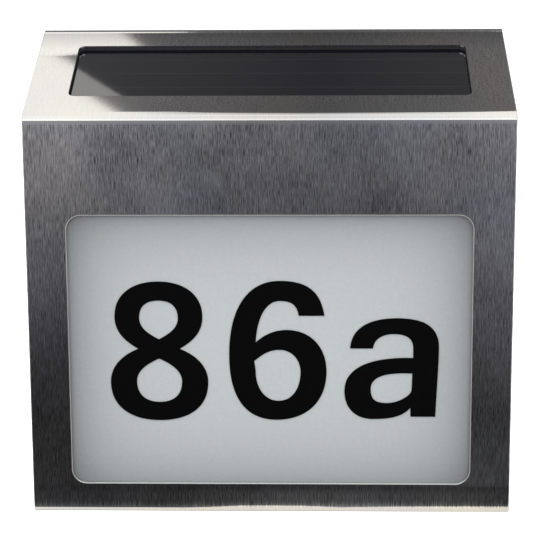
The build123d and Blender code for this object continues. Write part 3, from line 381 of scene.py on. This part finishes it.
def black_vinyl():
    """Cut film: almost flat black with a faint sheen and a little orange peel."""
    film = Finish("black_vinyl")
    x, y, z = film.place()
    peel = film.noise(film.vector(x, y, z), scale=0.8, detail=2.0)
    return film.done(
        Base_Color=film.mix_colours(peel, BLACK, (0.002, 0.002, 0.0022)),
        Roughness=0.7 + peel.swing(0.1),
        Specular_IOR_Level=0.06,
        Normal=film.bump(peel, 0.02 * MM, 0.3),
    )


# ================================================================== solar panel
STRIPS = 4                          # of solar cells, one above the other up the roof
GLASS_COLOUR = (0.003, 0.0028, 0.0060)
GLASS_ROUGHNESS = 0.032
JOINT_COLOUR = (0.018, 0.018, 0.021)
JOINT_WIDTH = 0.3                   # of the bare line between two strips of cells


def solar_glass():
    """Glass laminated on its cells: as dark as they are, with a faint line where two strips meet."""
    glass = Finish("solar_glass")
    x, y, z = glass.place()
    up_glass = up_the_roof(y, z, (glass_low + glass_high) / 2)
    strip = (cells_high.y - cells_low.y) / MM / math.cos(ROOF_SLOPE) / STRIPS
    from_joint = abs((up_glass / strip + 0.5).maths("FRACT") - 0.5) * strip
    return glass.done(
        Base_Color=glass.mix_colours(from_joint.above(JOINT_WIDTH / 2, 0.1), JOINT_COLOUR, GLASS_COLOUR),
        Roughness=GLASS_ROUGHNESS,
        IOR=1.5,
        Coat_Weight=1.0,
        Coat_Roughness=GLASS_ROUGHNESS,
    )


def solar_cells():
    """Thin-film cells with a soft blue-violet cast."""
    cells = Finish("solar_cells")
    x, y, z = cells.place()
    cast = cells.noise(cells.vector(x * 0.02, y * 0.05, z * 0.05), detail=2.0)
    colour = cells.mix_colours(cast, (0.010, 0.0095, 0.014), (0.014, 0.013, 0.019))
    return cells.done(Base_Color=colour, Roughness=0.4, Specular_IOR_Level=0.0)


# ================================================================== plastic, foam, metal and electronics
def moulded_plastic(name, colour, roughness, grain):
    """Moulded plastic with a fine spark-eroded grain, whose depth is given."""
    plastic = Finish(name)
    x, y, z = plastic.place()
    pits = plastic.noise(plastic.vector(x, y, z), scale=3.0, detail=2.0)
    cloud = plastic.noise(plastic.vector(x, y, z), scale=0.06, detail=2.0)
    return plastic.done(
        Base_Color=plastic.mix_colours(0.85 + cloud.swing(0.3), shade_of(colour, 0.5), colour),
        Roughness=roughness + pits.swing(0.12),
        Normal=plastic.bump(pits, grain * MM, 0.6),
    )


def foam_rubber(name, colour):
    """Closed-cell foam with open pores on its cut faces, whose pits are darkened in the colour as painted
    shade.
    """
    foam = Finish(name)
    x, y, z = foam.place()
    cells = foam.node("TexVoronoi", None, Vector=foam.vector(x, y, z), Scale=2.4)
    # pores sets both the pits' depth and, as painted shade, how dark they are.
    pores = Value(foam, cells.outputs["Distance"])
    return foam.done(
        Base_Color=foam.mix_colours(pores.smallest(1.0), shade_of(colour, 0.45), colour),
        Roughness=0.85,
        Normal=foam.bump(pores, 0.15 * MM, 0.7),
    )


def plated_metal(name, colour, roughness):
    """Plated or turned metal with faint polishing marks."""
    metal = Finish(name)
    x, y, z = metal.place()
    polish = metal.noise(metal.vector(x * 6.0, y * 6.0, z * 1.2), detail=3.0)
    return metal.done(
        Base_Color=metal.mix_colours(0.7 + polish.swing(0.5), shade_of(colour, 0.5), colour),
        Metallic=1.0,
        Roughness=roughness + polish.swing(0.15),
        Normal=metal.bump(polish, 0.01 * MM, 0.4),
    )


TRACK_PITCH = 1.6                   # of the squares that are copper or bare


def circuit_board():
    """Green solder mask over copper tracks, with the weave of the laminate."""
    board = Finish("circuit_board")
    x, y, z = board.place()
    threads = board.node(
        "TexWave", {"wave_type": "BANDS"}, Vector=board.vector(x, y, z), Scale=1.6, Distortion=0.4,
    )
    weave = Value(board, threads.outputs["Fac"])
    squares = board.vector(*[(way / TRACK_PITCH).maths("FLOOR") for way in (x, y, z)])
    copper = board.noise(squares).above(0.53, 0.02)
    return board.done(
        Base_Color=board.mix_colours(copper * 0.7, (0.012, 0.10, 0.045), (0.03, 0.19, 0.08)),
        Roughness=0.32 + weave * 0.06,
        Coat_Weight=0.4,
        Normal=board.bump(copper + weave * 0.3, 0.03 * MM, 0.5),
    )


CROWN_LENGTH = 1.6                  # bare metal at the cell's end with the white band
BAND_END = 9.0                      # of the white band, from that end
FOOT_LENGTH = 1.0                   # bare metal at the other end
SLEEVE_EDGE = 0.1


def battery_wrap():
    """Shrink sleeve: a plain green body with a bare white band at one end."""
    wrap = Finish("battery_wrap")
    x, y, z = wrap.place()
    start = battery_low.x / MM
    end = battery_high.x / MM
    past_crown = x.above(start + CROWN_LENGTH, SLEEVE_EDGE)
    band = past_crown * (1.0 - x.above(start + BAND_END, SLEEVE_EDGE))
    bare = (1.0 - past_crown).largest(x.above(end - FOOT_LENGTH, SLEEVE_EDGE))
    wrinkle = wrap.noise(wrap.vector(x * 0.5, y, z), scale=1.2, detail=3.0)
    sleeve = wrap.mix_colours(wrinkle, (0.03, 0.15, 0.07), (0.05, 0.22, 0.10))
    sleeve = wrap.mix_colours(band, sleeve, (0.72, 0.72, 0.70))
    return wrap.done(
        Base_Color=wrap.mix_colours(bare, sleeve, (0.62, 0.60, 0.56)),
        Metallic=bare,
        Roughness=0.28 + wrinkle * 0.1,
        Normal=wrap.bump(wrinkle, 0.05 * MM, 0.4),
    )


def led_lens():
    """Yellow phosphor grains under clear resin."""
    lens = Finish("led_lens")
    x, y, z = lens.place()
    grains = lens.noise(lens.vector(x, y, z), scale=4.0, detail=2.0)
    return lens.done(
        Base_Color=lens.mix_colours(grains, (0.80, 0.62, 0.12), (0.92, 0.80, 0.30)),
        Roughness=0.25,
        Coat_Weight=0.6,
        Normal=lens.bump(grains, 0.03 * MM, 0.4),
    )


DARK_PLASTIC = (0.022, 0.022, 0.024)
materials = {
    "brushed_steel": brushed_steel(),
    "frosted_acrylic": frosted_acrylic(),
    "black_vinyl": black_vinyl(),
    "black_tape": foam_rubber("black_tape", (0.012, 0.012, 0.012)),
    "black_gasket": foam_rubber("black_gasket", (0.045, 0.048, 0.054)),
    "solar_glass": solar_glass(),
    "solar_cells": solar_cells(),
    "circuit_board": circuit_board(),
    "case_plastic": moulded_plastic("case_plastic", DARK_PLASTIC, 0.48, 0.05),
    "white_reflector": moulded_plastic("white_reflector", (0.86, 0.86, 0.85), 0.35, 0.01),
    "led_lens": led_lens(),
    "screw_steel": plated_metal("screw_steel", (0.66, 0.66, 0.66), 0.28),
    "battery_wrap": battery_wrap(),
    "nickel_plate": plated_metal("nickel_plate", (0.74, 0.71, 0.66), 0.22),
    "chip_black": moulded_plastic("chip_black", (0.015, 0.015, 0.016), 0.5, 0.02),
    "capacitor_can": plated_metal("capacitor_can", (0.68, 0.68, 0.70), 0.30),
    "switch_shell": plated_metal("switch_shell", (0.58, 0.58, 0.58), 0.30),
    "slider_plastic": moulded_plastic("slider_plastic", (0.03, 0.03, 0.03), 0.42, 0.02),
    "lead_red": moulded_plastic("lead_red", (0.50, 0.02, 0.02), 0.35, 0.01),
    "lead_black": moulded_plastic("lead_black", (0.015, 0.015, 0.015), 0.35, 0.01),
}
for entry in frame["record"]["subparts"]:
    node = nodes[entry["node"]]
    for place in node.material_slots:
        place.material = materials[entry["material_slot"]]

# The brushing's reflections stretch along X everywhere but on the ends, where they stretch along Y. The
# shader takes that direction from the texture space, which is set far behind the sign.
texture_space = nodes["cover_shell"].data
texture_space.use_auto_texspace = False
texture_space.texspace_location = (0.0, 100.0, 0.0)
texture_space.texspace_size = (1.0, 1.0, 1.0)


# ================================================================== studio
def stage_mesh(name, corners, faces, material):
    """A piece of the studio, on no side of the sign."""
    mesh = bpy.data.meshes.new(name)
    mesh.from_pydata(corners, [], faces)
    mesh.materials.append(material)
    piece = bpy.data.objects.new(name, mesh)
    bpy.context.scene.collection.objects.link(piece)
    return piece


def rectangle(side, front, rear):
    """Corners of an outline that reaches equally far to both sides."""
    return [(-side, front), (side, front), (side, rear), (-side, rear)]


def level_sheet(name, outline, height, material):
    """Level sheet with an outline of (x, y) corners."""
    return stage_mesh(name, [(x, y, height) for x, y in outline], [tuple(range(len(outline)))], material)


def upright_sheet(name, start, end, low, high, material):
    """Upright sheet between two (x, y) places and two heights."""
    corners = [(*place, height) for height in (low, high) for place in (start, end)]
    return stage_mesh(name, corners, [(0, 1, 3, 2)], material)


BOWL_STEPS = 64
BOWL_PROFILE = [(3.0, 0.0), (3.3, 0.08), (3.5, 0.3), (3.6, 0.7), (3.6, 4.0)]    # (radius, height)
PAPER = 0.9                         # how white the paper is, and how strongly it glows


def backdrop():
    """White paper floor that rises all round into a wall. Only the camera sees it."""
    corners = [
        (radius * math.cos(turn), radius * math.sin(turn), height)
        for radius, height in BOWL_PROFILE
        for turn in (2 * math.pi * step / BOWL_STEPS for step in range(BOWL_STEPS))
    ]
    faces = [tuple(range(BOWL_STEPS))]
    for ring in range(len(BOWL_PROFILE) - 1):
        for step in range(BOWL_STEPS):
            after = (step + 1) % BOWL_STEPS
            low, high = ring * BOWL_STEPS, (ring + 1) * BOWL_STEPS
            faces.append((low + step, low + after, high + after, high + step))
    paper = Finish("backdrop").done(
        Base_Color=shade_of(WHITE, PAPER), Roughness=0.9, Emission_Color=WHITE, Emission_Strength=PAPER,
    )
    bowl = stage_mesh("backdrop", corners, faces, paper)
    bowl.visible_glossy = False
    bowl.visible_diffuse = False
    bowl.visible_shadow = False


RADIANCE = 2.2                      # of the brightest cloth
SIDE_PLACE = 1.5
FRONT_PLACE = -0.9
REAR_PLACE = 2.5

CEILING_HEIGHT = 1.3
CEILING_OUTLINE = [                 # (x, y), the rear edge as the glass and the roof mirror it
    (-SIDE_PLACE, FRONT_PLACE), (SIDE_PLACE, FRONT_PLACE), (SIDE_PLACE, 0.62), (0.27, 0.47), (0.26, 0.25),
    (0.17, 0.05), (0.08, -0.05), (-0.02, -0.05), (-0.10, 0.05), (-0.148, 0.25), (-0.169, 0.443),
    (-0.228, 0.499), (-0.303, 0.549), (-0.36, 0.576), (-0.46, 0.60), (-0.60, REAR_PLACE),
    (-SIDE_PLACE, REAR_PLACE),
]
CEILING_COLOURS = (0.75, 0.728, 0.69), (0.13, 0.13, 0.128)      # bright, dim
CEILING_GAP = 0.22                  # half width of its dim middle

FRONT_LOW = 0.24                    # height of the front cloth's lower edge
FRONT_COLOURS = (0.99, 0.975, 0.95), (0.56, 0.555, 0.545)
FRONT_GAP = 0.25                    # half width of its dim middle
FRONT_SIDE_SHARE = 0.5
FRONT_FOOT_SHARE = 0.4              # of the brighter foot, with the height where it ends and its fade
FRONT_FOOT_END = 0.50
FRONT_FOOT_FADE = 0.20

LEFT_COLOUR = (0.45, 0.44, 0.43)

CARD_HEIGHT = -0.0003
CARD_SIDE = 0.13
FOOT_REAR = -0.0573
FOOT_OUTLINE = [                    # (x, y) of the table that the foot's bend mirrors
    (-CARD_SIDE, -0.0632), (-0.045, -0.0636), (-0.025, -0.0655), (-0.012, -0.0675), (0.012, -0.0675),
    (0.03, -0.0656), (0.055, -0.0668), (CARD_SIDE, -0.068), (CARD_SIDE, FOOT_REAR), (-CARD_SIDE, FOOT_REAR),
]
FOOT_COLOUR = (0.63, 0.59, 0.525)

APRON_DROP = 0.0002                 # below the foot's card
APRON_FRONT = -0.095
APRON_COLOURS = (0.56, 0.55, 0.56), (0.016, 0.016, 0.017)
APRON_LEFT_FADE = 0.06              # to the left, until it has dimmed to the least
APRON_LEFT_LEAST = 0.3
APRON_RIGHT_LOSS = 4.0              # per metre to the right
APRON_EDGE_FADE = 0.012             # from its front edge, until it has the level share
APRON_LEVEL_SHARE = 0.05
APRON_RISE_START = -0.078           # where it starts to brighten towards the foot
APRON_RISE_LENGTH = 0.014
APRON_RISE_SHARE = 0.45

BOUNCE = 0.27                       # what the floor gives back, of the brightest cloth
BOUNCE_HEIGHT = -0.002


def ceiling_share(x, y, z):
    """Bright, but for a middle that gets dimmer towards the rear."""
    return 1.0 - (1.0 - abs(x) / CEILING_GAP).largest(0.0) * ((y - FRONT_PLACE) / -FRONT_PLACE)


def front_share(x, y, z):
    """Brighter at the foot and towards the sides."""
    at_foot = ((FRONT_FOOT_END - z) / FRONT_FOOT_FADE).within_one()
    return at_foot * FRONT_FOOT_SHARE + (abs(x) / FRONT_GAP).smallest(1.0) * FRONT_SIDE_SHARE


def apron_share(x, y, z):
    """Dark table that brightens towards the foot, and is dimmer towards both sides."""
    between_sides = (1.0 + x / APRON_LEFT_FADE).largest(APRON_LEFT_LEAST)
    between_sides = between_sides.smallest(1.0 - x.largest(0.0) * APRON_RIGHT_LOSS)
    level = ((y - APRON_FRONT) / APRON_EDGE_FADE).smallest(1.0) * APRON_LEVEL_SHARE
    rise = ((y - APRON_RISE_START) / APRON_RISE_LENGTH).largest(0.0).maths("POWER", 3.0) * APRON_RISE_SHARE
    return between_sides * (level + rise)


def glowing(name, bright, dim=None, share=None):
    """Cloth that glows. share is a function of the place, in metres, and mixes dim and bright."""
    cloth = Finish(name)
    colour = bright
    if share:
        x, y, z = [value * MM for value in cloth.place()]
        colour = cloth.mix_colours(share(x, y, z), dim, bright)
    return cloth.done(
        Base_Color=BLACK, Specular_IOR_Level=0.0, Emission_Color=colour, Emission_Strength=RADIANCE,
    )


def light_tent():
    """Glowing cloth above, in front and at the left, and cards on the floor. The camera sees none of it."""
    ceiling = level_sheet(
        "ceiling_light", CEILING_OUTLINE, CEILING_HEIGHT,
        glowing("ceiling_light", *CEILING_COLOURS, ceiling_share),
    )
    front = upright_sheet(
        "front_light", (-SIDE_PLACE, FRONT_PLACE), (SIDE_PLACE, FRONT_PLACE), FRONT_LOW, CEILING_HEIGHT,
        glowing("front_light", *FRONT_COLOURS, front_share),
    )
    left = upright_sheet(
        "left_light", (-SIDE_PLACE, FRONT_PLACE), (-SIDE_PLACE, REAR_PLACE), 0.0, CEILING_HEIGHT,
        glowing("left_light", LEFT_COLOUR),
    )
    foot = level_sheet("foot_light", FOOT_OUTLINE, CARD_HEIGHT, glowing("foot_light", FOOT_COLOUR))
    apron = level_sheet(
        "apron_light", rectangle(CARD_SIDE, APRON_FRONT, FOOT_REAR), CARD_HEIGHT - APRON_DROP,
        glowing("apron_light", *APRON_COLOURS, apron_share),
    )
    bounce = level_sheet(
        "floor_bounce", rectangle(SIDE_PLACE, -SIDE_PLACE, SIDE_PLACE), BOUNCE_HEIGHT,
        glowing("floor_bounce", shade_of(WHITE, BOUNCE)),
    )
    bounce.visible_glossy = False
    bounce.visible_transmission = False
    for piece in (ceiling, front, left, foot, apron, bounce):
        piece.visible_camera = False
    for piece in (foot, apron, bounce):
        piece.visible_shadow = False
    for piece in (foot, apron):
        piece.visible_diffuse = False


# What the steel mirrors beyond the cloth, by the height of the direction: 0 is straight down, 0.5 is level
# and 1 is straight up.
HORIZON = [
    (0.000, (0.400, 0.400, 0.400)),
    (0.250, (0.300, 0.300, 0.300)),
    (0.325, (0.070, 0.070, 0.072)),
    (0.346, (0.050, 0.050, 0.052)),
    (0.360, (0.038, 0.038, 0.040)),
    (0.385, (0.045, 0.045, 0.049)),
    (0.407, (0.093, 0.092, 0.101)),
    (0.427, (0.113, 0.112, 0.124)),
    (0.443, (0.125, 0.125, 0.140)),
    (0.459, (0.160, 0.160, 0.180)),
    (0.500, (0.250, 0.250, 0.275)),
    (0.900, (0.135, 0.130, 0.131)),
]
SIDE_GAIN = 5.0                     # how fast it all brightens to the sides
SIDE_LIMIT = 2.0
# Each start, and the floor's end, is how far the direction points the named way, and the step's softness.
LEFT_START = (-0.17, 0.10)          # upwards, below which the left doesn't brighten
SIDE_ROOM = (0.25, 0.25, 0.252)     # the room far to the sides
SIDE_START = (0.38, 0.16)           # sideways
FLOOR_BEHIND = shade_of(WHITE, 0.75)     # white paper behind the sign, as its outline mirrors it
BEHIND_START = (0.4, 0.4)           # into the wall
FLOOR_END = (-0.01, 0.02)           # upwards, above which there is no floor


def surroundings():
    room = Finish("room", bpy.data.worlds)
    direction = room.node("SeparateXYZ", None, room.node("TexCoord").outputs["Generated"]).outputs
    sideways, inwards, upwards = [Value(room, part) for part in direction]
    left_share = upwards.above(*LEFT_START) * -1.0
    strength = (1.0 + sideways.largest(sideways * left_share) * SIDE_GAIN).smallest(SIDE_LIMIT)
    glow = room.node("ValToRGB", {"stops": HORIZON}, upwards * 0.5 + 0.5).outputs[0]
    behind = inwards.above(*BEHIND_START) * (1.0 - upwards.above(*FLOOR_END))
    glow = room.mix_colours(behind, glow, FLOOR_BEHIND)
    glow = room.mix_colours(abs(sideways).above(*SIDE_START), glow, SIDE_ROOM)
    background = room.node("Background", None, glow, strength)
    room.node("OutputWorld", None, background.outputs[0])
    bpy.context.scene.world = room.material


PHOTO_SIZE = 540
FOCAL_PIXELS = 1459.6
AXIS_PIXELS = 15.0                  # of the optical axis, right of the picture's centre
SENSOR = 36.0
CAMERA_PLACE = Vector((20.93, -647.27, 201.79)) * MM
CAMERA_YAW = math.radians(1.409)
CAMERA_PITCH = math.radians(-9.465)
CAMERA_ROLL = math.radians(-0.221)


def photograph_camera():
    lens = bpy.data.cameras.new("camera")
    lens.sensor_width = SENSOR
    lens.lens = FOCAL_PIXELS / PHOTO_SIZE * SENSOR
    lens.shift_x = -AXIS_PIXELS / PHOTO_SIZE
    camera = bpy.data.objects.new("camera", lens)
    bpy.context.scene.collection.objects.link(camera)
    camera.location = CAMERA_PLACE
    camera.rotation_euler = (math.pi / 2 + CAMERA_PITCH, 0.0, CAMERA_YAW)
    camera.rotation_euler.rotate_axis("Z", CAMERA_ROLL)
    bpy.context.scene.camera = camera


backdrop()
light_tent()
surroundings()
photograph_camera()
bpy.context.scene.view_settings.view_transform = "Standard"
